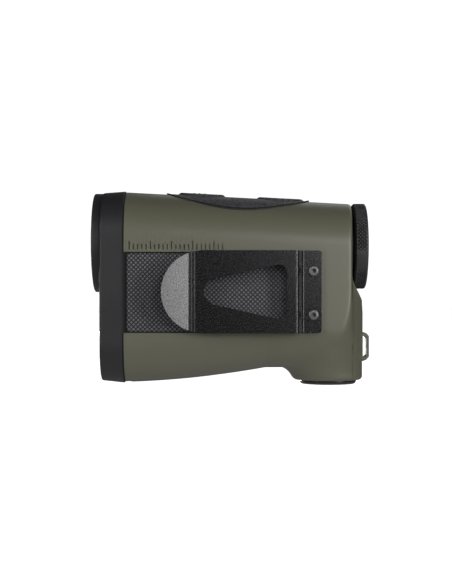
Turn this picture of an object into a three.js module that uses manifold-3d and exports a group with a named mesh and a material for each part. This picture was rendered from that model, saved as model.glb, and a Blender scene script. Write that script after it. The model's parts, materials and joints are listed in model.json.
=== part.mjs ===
// Hand-held laser rangefinder with a belt clip.
// Millimetres, +Z up. X runs from the objective (-) to the eyepiece (+) and the belt clip is on the
// -Y side. The origin is the centre of the battery cap's outer face, and Y = 0 is the split between
// the two housing halves.

import * as THREE from "three";
import { mergeVertices } from "three/addons/utils/BufferGeometryUtils.js";
import { ParametricGeometry } from "three/addons/geometries/ParametricGeometry.js";
import Module from "manifold-3d";

const wasm = await Module();
wasm.setup();

// ---------------------------------------------------------------- driving dimensions

const GAP = 0.3; // between pieces that nest in or rest on each other
const WALL = 2.4; // housing wall
const FAR = 60; // longer than any cut needs

const BODY = { side: 20, front: -73.75, rear: 8.2, rearBow: 1, topZ: 70.3, topFall: 0.0525, topArc: 16, bottomArc: 14.8 };
const BOTTOM_FLAT = 7; // half width of the level strip underneath that it stands on
const CHIN = { z: 1.23, slope: 0.02, curl: 0.0016, run: 50.5 }; // underside, rising towards the rear
const CORNER = { r: 1.2, growth: 9, highZ: 37, lowZ: 14, power: 2.6 }; // rear edge, softer lower down
// The round column that holds the battery, under the eyepiece.
const COLUMN = { r: 12.6, bottomZ: 1.5, edge: 1.4, roofZ: 30.3, roofSlope: 1.7, topZ: 40 };
const FILLET = { r: 6.2, upperR: 1.5, lowZ: 26, highZ: 36 }; // where the column meets the trunk
const HUB_Z = 28; // every cross-section is a single outline around this height

const BEZEL = { front: -82.45, rear: -74.25, proud: 0.4, draft: 0.75, edge: 0.5, wall: 3 };
const HOOD = { z: 51.7, r: 18.1, bore: 16.3, front: -85.65 };
const OBJECTIVE = { r: 12.5, front: -80.2, tube: 14 };
const EMITTER = { z: 17, r: 6.4, front: -81, tube: 7.9 };
const CHASSIS = { front: -78.9, tubeEnd: -58, boxEnd: -22, halfWidth: 11.5, floor: 39, roof: 60.4, wall: 1.2 };
const OCULAR = { z: 50.5, r: 8.6, head: 9.6, barrel: 11.8, tube: 9.8 };
const RING = { r: 15.65, front: 8.7, rear: 13.6 };

const PAD = { front: -59.1, rear: -7.15, halfWidth: 14.5, proud: 0.32, depth: 1 };
const BUTTON = { measure: -46.35, menu: -17.55, halfLength: 8.85, halfWidth: 6.2, proud: 1, stem: 2, travel: 0.6 };
const BOARD_Z = 61.4; // underside of the button board
const SWITCH = { half: 2.25, height: 1.5, nib: 0.4 };

const GRIP = { front: -72.6, rear: -11, bottom: 19.7, top: 47.3, face: 19.6, floor: 18.4 };
const CLIP = {
  bottom: 19.2, top: 48.3, rear: -3.76, sheet: 1.2, footFace: 21.5, armFace: 25.6, heel: -10.4, knee: -12.2,
  dip: -50.2, dipFace: 24.5, tip: -60.1, tipFace: 29, screwX: -6.65, screwZ: 33.35,
  screwPitch: 15.5, split: 24,
};
const WINDOW = { rear: -16.15, halfHeight: 9.5, corner: 2.8, noseX: -40.5, noseR: 4.7 };
const BATTERY = { r: 7.8, bottom: 5.2, top: 32.2 };
const CAP = { r: 10.35, height: 1.9, boss: 9.2, bossTop: 4.7 };
const LOOP = { rear: 15, bottom: 8.2, top: 19.1, halfWidth: 2.5, bar: 1 };
const STRIP = { front: -71.8, rear: -42.7, halfWidth: 7 };
const POSTS = [[-66, 31.2], [-24, 23.5], [-15.5, 35]]; // X and Z of the screws that join the halves

const FINISH = {
  olive: [0x65655a, 0.55, 0], blackPlastic: [0x3a3a3c, 0.5, 0], rubber: [0x3a3a3b, 0.85, 0],
  padRubber: [0x46464a, 0.8, 0], coated: [0x262628, 0.6, 0.2], steel: [0x6e6e70, 0.35, 1],
  brass: [0xb08d45, 0.35, 1], alloy: [0x9b9da1, 0.4, 1], glass: [0x9fb4c4, 0.05, 0],
  board: [0x1f5a3a, 0.6, 0], chip: [0x1b1b1d, 0.5, 0], flex: [0xb5762c, 0.5, 0], cell: [0x2b4f86, 0.4, 0.3],
};

// ---------------------------------------------------------------- shapes and solids

const { clamp, degToRad, lerp } = THREE.MathUtils;
const object = new THREE.Group();

function toSolid(geometry) {
  const bare = geometry.clone();
  bare.deleteAttribute("normal");
  bare.deleteAttribute("uv");
  const merged = mergeVertices(bare);
  const triangles = [];
  for (let i = 0; i < merged.index.count; i += 3) {
    const [a, b, c] = [0, 1, 2].map((k) => merged.index.getX(i + k));
    if (a !== b && b !== c && c !== a) triangles.push(a, b, c);
  }
  const vertProperties = new Float32Array(merged.attributes.position.array);
  return new wasm.Manifold(new wasm.Mesh({ numProp: 3, vertProperties, triVerts: new Uint32Array(triangles) }));
}

function toGeometry(solid) {
  const mesh = solid.getMesh();
  const geometry = new THREE.BufferGeometry();
  geometry.setAttribute("position", new THREE.BufferAttribute(new Float32Array(mesh.vertProperties), 3));
  geometry.setIndex(new THREE.BufferAttribute(new Uint32Array(mesh.triVerts), 1));
  geometry.computeVertexNormals();
  return geometry;
}

const join = (solids) => solids.reduce((whole, solid) => whole.add(solid));
const cut = (solid, ...tools) => tools.reduce((rest, tool) => rest.subtract(tool), solid);

function piece(name, shape, finish, place = {}) {
  const [color, roughness, metalness] = FINISH[finish];
  const material = new THREE.MeshStandardMaterial({ color, roughness, metalness });
  const mesh = new THREE.Mesh(shape.isBufferGeometry ? shape : toGeometry(shape), material);
  mesh.name = name;
  mesh.position.set(...(place.at ?? [0, 0, 0]));
  mesh.rotation.set(...(place.turn ?? [0, 0, 0]));
  object.add(mesh);
}

// A turned piece: its profile is [radius, distance] pairs along the axis.
const AIM = { x: [0, 0, -Math.PI / 2], y: [0, 0, 0], z: [Math.PI / 2, 0, 0] };
const lathe = (profile, sides = 28) =>
  new THREE.LatheGeometry(profile.map(([r, h]) => new THREE.Vector2(r, h)), sides);
const rod = (r, from, to) => [[0, from], [r, from], [r, to], [0, to]];
const tube = (outer, inner, from, to) => [[inner, from], [outer, from], [outer, to], [inner, to], [inner, from]];

function turned(profile, axis, at, sides) {
  const geometry = lathe(profile, sides);
  geometry.applyMatrix4(new THREE.Matrix4().makeRotationFromEuler(new THREE.Euler(...AIM[axis])));
  geometry.translate(...at);
  return toSolid(geometry);
}

function turnedPiece(name, profile, axis, at, finish, sides) {
  piece(name, lathe(profile, sides), finish, { at, turn: AIM[axis] });
}

function block(x, y, z) {
  const [sizes, centres] = [[x, y, z].map(([a, b]) => b - a), [x, y, z].map(([a, b]) => (a + b) / 2)];
  return toSolid(new THREE.BoxGeometry(...sizes).translate(...centres));
}

const outline = (points) => new THREE.Shape(points.map(([a, b]) => new THREE.Vector2(a, b)));
const extrude = (shape, depth, curveSegments = 12) =>
  new THREE.ExtrudeGeometry(shape, { depth, curveSegments, bevelEnabled: false });
const prismX = (shape, [from, to]) =>
  toSolid(extrude(shape, to - from).rotateX(Math.PI / 2).rotateZ(Math.PI / 2).translate(from, 0, 0));
const prismY = (shape, [from, to], segments) =>
  toSolid(extrude(shape, to - from, segments).rotateX(Math.PI / 2).translate(0, to, 0));
const prismZ = (shape, [from, to], segments) =>
  toSolid(extrude(shape, to - from, segments).translate(0, 0, from));

function oval(centre, halfLength, halfWidth) {
  return new THREE.Shape().absellipse(centre, 0, halfLength, halfWidth, 0, 2 * Math.PI);
}

function roundedRect([x0, x1], [y0, y1], r) {
  const shape = new THREE.Shape();
  shape.moveTo(x0 + r, y0).lineTo(x1 - r, y0).absarc(x1 - r, y0 + r, r, -Math.PI / 2, 0);
  shape.lineTo(x1, y1 - r).absarc(x1 - r, y1 - r, r, 0, Math.PI / 2);
  shape.lineTo(x0 + r, y1).absarc(x0 + r, y1 - r, r, Math.PI / 2, Math.PI);
  return shape.lineTo(x0, y0 + r).absarc(x0 + r, y0 + r, r, Math.PI, 1.5 * Math.PI);
}

// ---------------------------------------------------------------- outer form of the housing

// Two fields meet in a rounded edge (both must hold) or in a rounded fillet (either may hold).
const roundedBoth = (a, b, r) =>
  Math.min(Math.max(a, b), -r) + Math.hypot(Math.max(a + r, 0), Math.max(b + r, 0));
const filletedEither = (a, b, r) =>
  Math.max(Math.min(a, b), r) - Math.hypot(Math.max(r - a, 0), Math.max(r - b, 0));

const topLine = (x) => BODY.topZ - BODY.topFall * (x - BODY.front);

function chinLine(x) {
  const run = clamp(x - BODY.front, 0, CHIN.run);
  return CHIN.z + CHIN.slope * run + CHIN.curl * run * run;
}

// Signed distance, near enough, to the housing's surface: negative inside.
function bodyField(x, y, z) {
  const [low, high] = [chinLine(x) + BODY.bottomArc, topLine(x) - BODY.topArc];
  const rise = z > high ? (z - high) / BODY.topArc : Math.min(z - low, 0) / BODY.bottomArc;
  const flat = z < low ? BOTTOM_FLAT : 0;
  const arc = BODY.side - flat;
  const section = (Math.hypot(Math.max(Math.abs(y) - flat, 0) / arc, rise) - 1) * arc;
  const softness = clamp((CORNER.highZ - z) / (CORNER.highZ - CORNER.lowZ), 0, 1) ** CORNER.power;
  const end = x - BODY.rear + BODY.rearBow * (y / BODY.side) ** 2;
  const trunk = roundedBoth(section, end, CORNER.r + CORNER.growth * softness);
  const roof = (z - COLUMN.roofZ - COLUMN.roofSlope * (COLUMN.r - x)) / Math.hypot(1, COLUMN.roofSlope);
  const column = Math.max(Math.hypot(x, y) - COLUMN.r, roof, z - COLUMN.topZ);
  const tight = clamp((z - FILLET.lowZ) / (FILLET.highZ - FILLET.lowZ), 0, 1);
  const both = filletedEither(trunk, column, lerp(FILLET.r, FILLET.upperR, tight));
  const floor = COLUMN.bottomZ - clamp(-x / 15 - 2, 0, 3); // drops away ahead of the column
  return roundedBoth(both, floor - z, COLUMN.edge);
}

// The outline at one station: points spaced evenly along it, found on rays from the hub.
function ring(x, grow, count) {
  const rays = 6 * count;
  const dense = Array.from({ length: rays + 1 }, (_, i) => {
    const angle = (2 * Math.PI * i) / rays - Math.PI / 2;
    const [out, up] = [Math.cos(angle), Math.sin(angle)];
    let [inside, outside] = [0, FAR];
    while (outside - inside > 1e-5) {
      const middle = (inside + outside) / 2;
      if (bodyField(x, middle * out, HUB_Z + middle * up) < grow) inside = middle;
      else outside = middle;
    }
    return new THREE.Vector3(x, inside * out, HUB_Z + inside * up);
  });
  const path = new THREE.CurvePath();
  dense.slice(1).forEach((point, i) => path.add(new THREE.LineCurve3(dense[i], point)));
  return Array.from({ length: count }, (_, i) => path.getPointAt(i / count));
}

// A closed solid through rings of equal count, with flat ends.
function loft(rings) {
  const centre = (points) => points.reduce((sum, p) => sum.add(p), new THREE.Vector3()).divideScalar(points.length);
  const rows = [[centre(rings[0])], ...rings, [centre(rings[rings.length - 1])]];
  const [slices, stacks] = [rings[0].length, rows.length - 1];
  const point = (u, v, target) => {
    const row = rows[Math.round(v * stacks)];
    target.copy(row[Math.round(u * slices) % row.length]);
  };
  return toSolid(new ParametricGeometry(point, slices, stacks));
}

const FULL_STATIONS = [
  BODY.front, -56, -38, -26, -20.5, -17.5, -15, -13.4, -12.2, -9, -3, 3, 5.5, 7.2, 8.1, 8.25, 9.6, 11, 12, 12.5,
];
const INNER_STATIONS = [-76, -60, -40, -22, -15, -10, -4, 2, 5, 5.75, 7.4, 9.8];
const TOP_STATIONS = [-64, -36, -4];

function bodyForm(grow, stations, count) {
  return loft(stations.map((x) => ring(x, grow, count)));
}

// ---------------------------------------------------------------- housing halves

const padOutline = (margin) => {
  const [centre, half] = [(PAD.front + PAD.rear) / 2, (PAD.rear - PAD.front) / 2];
  return prismZ(oval(centre, half + margin, PAD.halfWidth + margin), [55, 75], 16);
};
const buttonOutline = (centre, margin) =>
  prismZ(oval(centre, BUTTON.halfLength + margin, BUTTON.halfWidth + margin), [55, 75], 10);
const skin = (grow, depth) => cut(bodyForm(grow, TOP_STATIONS, 40), bodyForm(-depth, TOP_STATIONS, 40));
const clipScrews = [-1, 1].map((sign) => CLIP.screwZ + (sign * CLIP.screwPitch) / 2);

function housing(side) {
  const halfSpace = block([-90, 20], side < 0 ? [-FAR, -GAP / 2] : [GAP / 2, FAR], [-5, 80]);
  const across = (from, to) => (side < 0 ? [-to, -from] : [from, to]);
  const posts = POSTS.map(([x, z]) => turned(rod(2.6, ...across(GAP / 2, 17.8)), "y", [x, 0, z], 12));
  const bosses = side < 0 ? clipScrews.map((z) => turned(rod(3.2, -17.8, -13.4), "y", [CLIP.screwX, 0, z], 12)) : [];
  const shell = join([cut(bodyForm(0, FULL_STATIONS, 40), bodyForm(-WALL, INNER_STATIONS, 28)).intersect(halfSpace), ...posts, ...bosses]);

  const gripSlot = prismY(
    roundedRect([-76, GRIP.rear + GAP], [GRIP.bottom - 0.6, GRIP.top + 0.6], 0.8), across(GRIP.floor, 22), 3);
  const padPocket = padOutline(GAP).subtract(bodyForm(-PAD.depth - GAP, TOP_STATIONS, 40));
  const stemHoles = [BUTTON.measure, BUTTON.menu].map((x) => turned(rod(BUTTON.stem + 0.6, 60, 72), "z", [x, 0, 0], 16));
  const screwHoles = POSTS.map(([x, z]) => turned(rod(side < 0 ? 0.95 : 1.15, ...across(-1, 17)), "y", [x, 0, z], 12));
  const headWells = side > 0 ? POSTS.map(([x, z]) => turned(rod(2.1, 16.6, 19), "y", [x, 0, z], 12)) : [];
  const insertHoles = side < 0 ? clipScrews.map((z) => turned(rod(2, -22, -14.6), "y", [CLIP.screwX, 0, z], 12)) : [];
  const eyepieceHole = turned(rod(OCULAR.barrel + GAP, 4, 10), "x", [0, 0, OCULAR.z], 28);
  const ringRelief = turned(rod(RING.r + 0.4, BODY.rear + 0.1, 15), "x", [0, 0, OCULAR.z], 32);
  const capHole = turned([[0, 0], [CAP.r + GAP, 0], [CAP.r + GAP, 2.2], [9.7, 2.2], [9.7, 6], [0, 6]], "z", [0, 0, 0]);
  const loopSlot = block([9, 14], [-LOOP.halfWidth - 0.1, LOOP.halfWidth + 0.1], [LOOP.bottom + 0.7, LOOP.top - 0.7]);
  return cut(shell, gripSlot, padPocket, ...stemHoles, ...screwHoles, ...headWells, ...insertHoles, eyepieceHole,
    ringRelief, capHole, loopSlot);
}

piece("left_housing", housing(-1), "olive");
piece("right_housing", housing(1), "olive");

const screwProfile = [[0, 1], [0.85, 1], [0.85, 16.8], [1.9, 16.8], [1.9, 18.1], [0, 18.1]];
POSTS.forEach(([x, z], i) => turnedPiece(`housing_screw_${i + 1}`, screwProfile, "y", [x, 0, z], "steel", 10));

// ---------------------------------------------------------------- front bezel and objective

function bezelForm(from, to, grow) {
  return loft([from, to].map((x) => ring(clamp(x, -85, BODY.front), grow, 32).map((p) => p.setX(x))));
}

function frontBezel() {
  const count = 40;
  const shrink = [[BEZEL.front, BEZEL.draft + BEZEL.edge], [BEZEL.front + BEZEL.edge, BEZEL.draft], [BEZEL.rear, 0]];
  const shell = loft(shrink.map(([x, less]) => ring(x, BEZEL.proud - less, count)));
  const hood = turned([[0, 0], [HOOD.r - 0.4, 0], [HOOD.r, 0.4], [HOOD.r, 5], [0, 5]], "x", [HOOD.front, 0, HOOD.z], 40);
  const spigot = bezelForm(BEZEL.rear - 1, -70.5, -WALL - 0.8);
  const hollow = bezelForm(BEZEL.front + BEZEL.wall, -70, -WALL - 2);
  const hoodBore = turned(rod(HOOD.bore, HOOD.front - 1, BEZEL.front + 0.4), "x", [0, 0, HOOD.z], 32);
  const lensBore = turned(rod(OBJECTIVE.r + 0.7, HOOD.front, -78), "x", [0, 0, HOOD.z], 28);
  const emitterBore = turned(rod(EMITTER.r + 0.7, HOOD.front, -78), "x", [0, 0, EMITTER.z], 20);
  return cut(join([shell, hood, spigot]), hollow, hoodBore, lensBore, emitterBore);
}

piece("front_bezel", frontBezel(), "blackPlastic");
piece("bezel_seal", cut(bezelForm(BEZEL.rear + 0.1, BODY.front - 0.1, -0.6), bezelForm(BEZEL.rear - 1, BODY.front + 1, -2)),
  "rubber");

// A lens from its radius, edge thickness and the bulge of its two faces.
function lens(name, r, edge, bulge, x, z) {
  const dome = (from, sign) => [1, 0.6].map((f) => [r * f, from + sign * bulge * (1 - f * f)]);
  const profile = [[0, -bulge], ...dome(0, -1).reverse(), ...dome(edge, 1), [0, edge + bulge]];
  turnedPiece(name, profile, "x", [x, 0, z], "glass", 20);
}

turnedPiece("objective_retainer", tube(OBJECTIVE.r + 0.4, OBJECTIVE.r - 1, -81.9, -81.1), "x", [0, 0, HOOD.z],
  "blackPlastic", 24);
lens("objective_lens", OBJECTIVE.r, 2.4, 0.7, OBJECTIVE.front, HOOD.z);
turnedPiece("objective_seal", tube(OBJECTIVE.r, OBJECTIVE.r - 1.2, -76.8, -76), "x", [0, 0, HOOD.z], "rubber", 24);

turnedPiece("emitter_retainer", tube(EMITTER.r + 0.4, EMITTER.r - 0.8, -81.9, -81.3), "x", [0, 0, EMITTER.z],
  "blackPlastic", 20);
lens("emitter_lens", EMITTER.r, 1.4, 0.5, EMITTER.front + 0.4, EMITTER.z);
turnedPiece("emitter_tube", tube(EMITTER.tube, EMITTER.r + 0.3, CHASSIS.front, -52), "x", [0, 0, EMITTER.z],
  "blackPlastic", 24);
turnedPiece("laser_diode", [[0, 0], [2.8, 0], [2.8, 1.2], [2.2, 1.2], [2.2, 3.4], [0, 3.4]], "x",
  [-49.6, 0, EMITTER.z], "brass", 16);
piece("laser_board", block([-45.9, -44.9], [-8, 8], [9, 25]), "board");

// ---------------------------------------------------------------- optical chassis, prisms, display

function opticalChassis() {
  const { front, tubeEnd, boxEnd, halfWidth, floor, roof, wall } = CHASSIS;
  const outer = join([
    turned(rod(OBJECTIVE.tube, front, tubeEnd + 1), "x", [0, 0, HOOD.z], 28),
    block([tubeEnd, boxEnd], [-halfWidth, halfWidth], [floor, roof]),
    turned(rod(OCULAR.tube, boxEnd - 1, 1.6), "x", [0, 0, OCULAR.z], 24),
  ]);
  const lensSeat = turned(rod(OBJECTIVE.r + GAP, front - 1, -75.7), "x", [0, 0, HOOD.z], 28);
  const frontBore = turned(rod(8.4, -76, tubeEnd + 2), "x", [0, 0, HOOD.z], 24);
  const cone = turned([[0, -75.8], [OBJECTIVE.r - 1.2, -75.8], [8.4, tubeEnd - 0.5], [0, tubeEnd - 0.5]], "x",
    [0, 0, HOOD.z], 24);
  const room = block([tubeEnd + wall, boxEnd - wall], [-halfWidth + wall, halfWidth - wall], [floor + wall, roof - wall]);
  const rearBore = turned(rod(OCULAR.r + GAP, boxEnd - 3, 3), "x", [0, 0, OCULAR.z], 24);
  const receiverPort = turned(rod(4, 36, 42), "z", [-35, 0, 0], 16);
  return cut(outer, lensSeat, frontBore, cone, room, rearBore, receiverPort);
}

piece("optical_chassis", opticalChassis(), "alloy");
const prismFloor = 43;
const prismRoof = 58.2;
piece("prism_block_a", prismY(outline([[-55, prismFloor], [-39.5, prismFloor], [-46, prismRoof], [-55, prismRoof]]),
  [-9, 9]), "glass");
piece("prism_block_b", prismY(outline([[-38.8, prismFloor], [-26, prismFloor], [-26, prismRoof], [-45.3, prismRoof]]),
  [-9, 9]), "glass");
piece("prism_clamp", block([-52, -30], [-4, 4], [58.5, 59.2]), "steel");
piece("display_panel", block([-19.6, -18.4], [-5.8, 5.8], [OCULAR.z - 5.8, OCULAR.z + 5.8]), "glass");

piece("receiver_board", block([-46, -28], [-9, 9], [27.5, 28.5]), "board");
turnedPiece("apd_detector", [[0, 28.8], [4.2, 28.8], [4.2, 30], [3.7, 30], [3.7, 34.6], [0, 34.6]], "z", [-35, 0, 0],
  "alloy", 20);

// ---------------------------------------------------------------- eyepiece

function eyepieceBarrel() {
  const tubeWall = tube(OCULAR.barrel, OCULAR.head + GAP, 2.4, 12.3);
  const flange = tube(12.6, OCULAR.head + GAP + 0.2, 3.2, 5);
  return join([tubeWall, flange].map((profile) => turned(profile, "x", [0, 0, OCULAR.z], 24)));
}

piece("eyepiece_barrel", eyepieceBarrel(), "blackPlastic");
turnedPiece("diopter_ring", [
  [OCULAR.barrel + GAP, RING.front], [RING.r - 0.7, RING.front], [RING.r, RING.front + 0.7],
  [RING.r, RING.rear - 0.9], [RING.r - 0.3, RING.rear - 0.3], [RING.r - 1, RING.rear], [13.3, RING.rear],
  [13.3, 12.2], [OCULAR.barrel + GAP, 12.2], [OCULAR.barrel + GAP, RING.front],
], "x", [0, 0, OCULAR.z], "blackPlastic", 36);
turnedPiece("eyecup", [
  [10.2, 12.6], [13, 12.6], [13, 13.2], [12.6, 13.5], [10.8, 13.3], [10.2, 12.6],
], "x", [0, 0, OCULAR.z], "rubber", 28);
turnedPiece("ocular_cell", [
  [7.4, -8], [OCULAR.r, -8], [OCULAR.r, 2.8], [OCULAR.head, 3], [OCULAR.head, 11], [8.9, 11], [8.9, 7.6], [7.4, 7.6],
  [7.4, -8],
], "x", [0, 0, OCULAR.z], "blackPlastic", 20);
lens("field_lens", 7.1, 1.6, 0.6, -6, OCULAR.z);
lens("eye_lens", 8.5, 1.4, 0.6, 8.5, OCULAR.z);

// ---------------------------------------------------------------- button pad and buttons

const buttons = { measure: BUTTON.measure, menu: BUTTON.menu };
const openings = Object.values(buttons).map((x) => buttonOutline(x, GAP));
piece("button_pad", cut(skin(PAD.proud, PAD.depth).intersect(padOutline(0)), ...openings), "rubber");
piece("button_board", block([-57, -8.5], [-8, 8], [BOARD_Z, BOARD_Z + 0.8]), "board");

for (const [name, x] of Object.entries(buttons)) {
  const cap = skin(BUTTON.proud, 0.45).intersect(buttonOutline(x, 0));
  const nibTop = BOARD_Z + 0.9 + SWITCH.height + SWITCH.nib;
  const stem = turned(rod(BUTTON.stem, nibTop + BUTTON.travel + 0.05, topLine(x) - 0.2), "z", [x, 0, 0], 14);
  piece(`${name}_button`, join([cap, stem]), "rubber");
  const can = block([x - SWITCH.half, x + SWITCH.half], [-SWITCH.half, SWITCH.half],
    [BOARD_Z + 0.9, BOARD_Z + 0.9 + SWITCH.height]);
  const nib = turned(rod(1.1, nibTop - SWITCH.nib - 0.3, nibTop), "z", [x, 0, 0], 12);
  piece(`${name}_switch`, join([can, nib]), "chip");
}

// ---------------------------------------------------------------- electronics

piece("main_board", block([-60, -28], [14.6, 15.6], [15, 46]), "board");
piece("processor_chip", block([-56, -47], [13.1, 14.5], [30, 39]), "chip");
piece("timing_chip", block([-42, -36], [13.3, 14.5], [32, 38]), "chip");
piece("power_inductor", block([-54, -48], [12, 14.5], [16, 22]), "chip");
const ribbonPath = [[8.4, 61.7], [12.2, 61], [13.6, 57.5], [14.2, 50], [14.2, 46.4]];
const ribbonBack = ribbonPath.map(([y, z]) => [y - 0.3, z - 0.15]).reverse();
piece("ribbon_cable", prismX(outline([...ribbonPath, ...ribbonBack]), [-44, -36]), "flex");

// ---------------------------------------------------------------- grip pads and underside strip

for (const [name, side] of [["left_grip_pad", -1], ["right_grip_pad", 1]]) {
  const faces = [GRIP.floor + GAP, GRIP.face];
  const across = side < 0 ? [-faces[1], -faces[0]] : faces;
  piece(name, prismY(roundedRect([GRIP.front, GRIP.rear], [GRIP.bottom, GRIP.top], 0.6), across, 3), "padRubber");
}

const STRIP_STATIONS = [-71.8, -64, -56, -49, -42.7];
const stripForm = (grow) => bodyForm(grow, STRIP_STATIONS, 40);
piece("underside_pad", cut(stripForm(0.28), stripForm(0.05))
  .intersect(block([STRIP.front, STRIP.rear], [-STRIP.halfWidth, STRIP.halfWidth], [-2, 12])), "rubber");

// ---------------------------------------------------------------- belt clip

// Side profile of the bent sheet in the XY plane; the outer face is listed first, then the inner.
function clipProfile(outer) {
  const inner = outer.map((point, i) => {
    const [before, after] = [outer[Math.max(i - 1, 0)], outer[Math.min(i + 1, outer.length - 1)]];
    const normal = (a, b) => new THREE.Vector2(b[1] - a[1], a[0] - b[0]).normalize();
    const [first, second] = [i ? normal(before, point) : null, i < outer.length - 1 ? normal(point, after) : null];
    const [m, n] = [first ?? second, second ?? first];
    const miter = m.clone().add(n).normalize();
    const reach = CLIP.sheet / miter.dot(m);
    return [point[0] + miter.x * reach, point[1] + miter.y * reach];
  });
  return outline([...outer, ...inner.reverse()]);
}

const clipSheet = prismZ(clipProfile([
  [CLIP.tip, -CLIP.tipFace], [CLIP.dip - 1, -CLIP.dipFace - 0.3], [CLIP.dip, -CLIP.dipFace],
  [CLIP.dip + 1.4, -CLIP.armFace], [CLIP.knee, -CLIP.armFace], [CLIP.heel, -CLIP.footFace], [CLIP.rear, -CLIP.footFace],
].reverse()), [CLIP.bottom, CLIP.top]);

function clipPlan() {
  const [middle, half] = [(CLIP.bottom + CLIP.top) / 2, (CLIP.top - CLIP.bottom) / 2];
  const [corner, round] = [1, CLIP.tip + half];
  const plan = new THREE.Shape();
  plan.moveTo(round, CLIP.bottom).lineTo(CLIP.rear - corner, CLIP.bottom);
  plan.absarc(CLIP.rear - corner, CLIP.bottom + corner, corner, -Math.PI / 2, 0);
  plan.lineTo(CLIP.rear, CLIP.top - corner).absarc(CLIP.rear - corner, CLIP.top - corner, corner, 0, Math.PI / 2);
  plan.lineTo(round, CLIP.top).absarc(round, middle, half, Math.PI / 2, 1.5 * Math.PI);
  return prismY(plan, [-35, -15], 14);
}

function clipWindow() {
  const { rear, halfHeight, corner, noseX, noseR } = WINDOW;
  const middle = (CLIP.bottom + CLIP.top) / 2;
  const slope = degToRad(11.5);
  const touch = [noseX - noseR * Math.sin(slope), noseR * Math.cos(slope)];
  const shape = new THREE.Shape();
  const turnAngle = Math.PI / 2 + slope;
  const cornerX = rear - corner;
  const cornerZ = halfHeight - corner;
  shape.moveTo(touch[0], middle + touch[1]).absarc(noseX, middle, noseR, turnAngle, -turnAngle);
  shape.lineTo(cornerX + corner * Math.sin(slope), middle - cornerZ - corner * Math.cos(slope));
  shape.absarc(cornerX, middle - cornerZ, corner, -Math.PI / 2 + slope, 0);
  shape.lineTo(rear, middle + cornerZ).absarc(cornerX, middle + cornerZ, corner, 0, Math.PI / 2 - slope);
  return prismY(shape, [-35, -15], 8);
}

const clipWhole = clipSheet.intersect(clipPlan());
const screwClearance = clipScrews.map((z) => turned(rod(1.15, -24, -18), "y", [CLIP.screwX, 0, z], 14));
const rootZone = (margin) => block([-20, 10], [-CLIP.split + margin, 0], [10, 60]);
piece("belt_clip_foot", cut(clipWhole.intersect(rootZone(GAP / 2)), ...screwClearance), "coated");
piece("belt_clip_arm", cut(clipWhole, rootZone(-GAP / 2), clipWindow()), "coated");

const headBase = CLIP.footFace + 0.1;
const clipScrewProfile = [
  [0, -headBase - 0.5], [0.8, -headBase - 0.5], [0.8, -headBase - 1.1], [1.35, -headBase - 1.1], [1.85, -headBase - 0.4],
  [1.85, -headBase], [0.85, -headBase], [0.85, -15], [0, -15],
];
const insertProfile = tube(1.7, 1.1, -19.7, -15);
for (const [name, z] of [["lower", clipScrews[0]], ["upper", clipScrews[1]]]) {
  turnedPiece(`clip_screw_${name}`, clipScrewProfile, "y", [CLIP.screwX, 0, z], "steel", 14);
  turnedPiece(`clip_insert_${name}`, insertProfile, "y", [CLIP.screwX, 0, z], "brass", 12);
}

// ---------------------------------------------------------------- battery system

turnedPiece("battery", [
  [0, BATTERY.bottom], [BATTERY.r, BATTERY.bottom], [BATTERY.r, BATTERY.top], [3, BATTERY.top],
  [3, BATTERY.top + 0.8], [0, BATTERY.top + 0.8],
], "z", [0, 0, 0], "cell", 24);
turnedPiece("battery_sleeve", tube(8.9, 8.1, 5, 32.6), "z", [0, 0, 0], "blackPlastic", 24);
turnedPiece("battery_terminal", [[0, 33.3], [2, 33.3], [2, 33.8], [7.2, 33.8], [7.2, 35], [0, 35]], "z", [0, 0, 0],
  "steel", 20);

function batteryCap() {
  const profile = [
    [0, 0], [CAP.r - 1.1, 0], [CAP.r - 0.5, 0.2], [CAP.r - 0.1, 0.6], [CAP.r, 1.1], [CAP.r, CAP.height],
    [8.2, CAP.height], [8.2, 3.4], [CAP.boss, 3.4], [CAP.boss, CAP.bossTop], [7.6, CAP.bossTop], [7.6, 2.2], [0, 2.2],
  ];
  const slots = [[-8.2, -2.8], [2.8, 8.2]].map((x) => block(x, [-0.8, 0.8], [-1, 1.1]));
  return cut(turned(profile, "z", [0, 0, 0], 28), ...slots);
}

piece("battery_cap", batteryCap(), "blackPlastic");
turnedPiece("battery_cap_oring", tube(9.4, 8.5, 2.2, 3.1), "z", [0, 0, 0], "rubber", 24);
turnedPiece("cap_contact_plate", rod(7.2, 2.5, 2.8), "z", [0, 0, 0], "brass", 24);

class ConeSpiral extends THREE.Curve {
  getPoint(t, target = new THREE.Vector3()) {
    const angle = 2 * Math.PI * 2.5 * t;
    const r = THREE.MathUtils.lerp(6, 2.6, t);
    return target.set(r * Math.cos(angle), r * Math.sin(angle), THREE.MathUtils.lerp(3.2, 4.75, t));
  }
}
const wire = new THREE.Shape().absarc(0, 0, 0.22, 0, 2 * Math.PI);
piece("battery_spring", new THREE.ExtrudeGeometry(wire, {
  steps: 30, curveSegments: 2, bevelEnabled: false, extrudePath: new ConeSpiral(),
}), "steel");

// ---------------------------------------------------------------- lanyard loop

function lanyardLoop() {
  const { rear, bottom, top, halfWidth, bar } = LOOP;
  const root = 12.85;
  const rim = outline([[root, bottom], [13.9, bottom + 0.5], [rear, bottom + 1.7], [rear, top - 1.5],
    [13.9, top - 0.4], [root, top]]);
  const hole = outline([[root - 1, bottom + 1.7], [13.4, bottom + 1.7], [rear - bar, bottom + 2.5],
    [rear - bar, top - 2.4], [13.4, top - 1.6], [root - 1, top - 1.6]]);
  const eye = cut(prismY(rim, [-halfWidth, halfWidth]), prismY(hole, [-10, 10]));
  const tongue = block([9.3, root + 0.35], [-halfWidth, halfWidth], [bottom + 0.8, top - 0.8]);
  const flange = block([9.1, 9.5], [-halfWidth - 0.7, halfWidth + 0.7], [bottom, top]);
  return join([eye, tongue, flange]);
}

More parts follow.
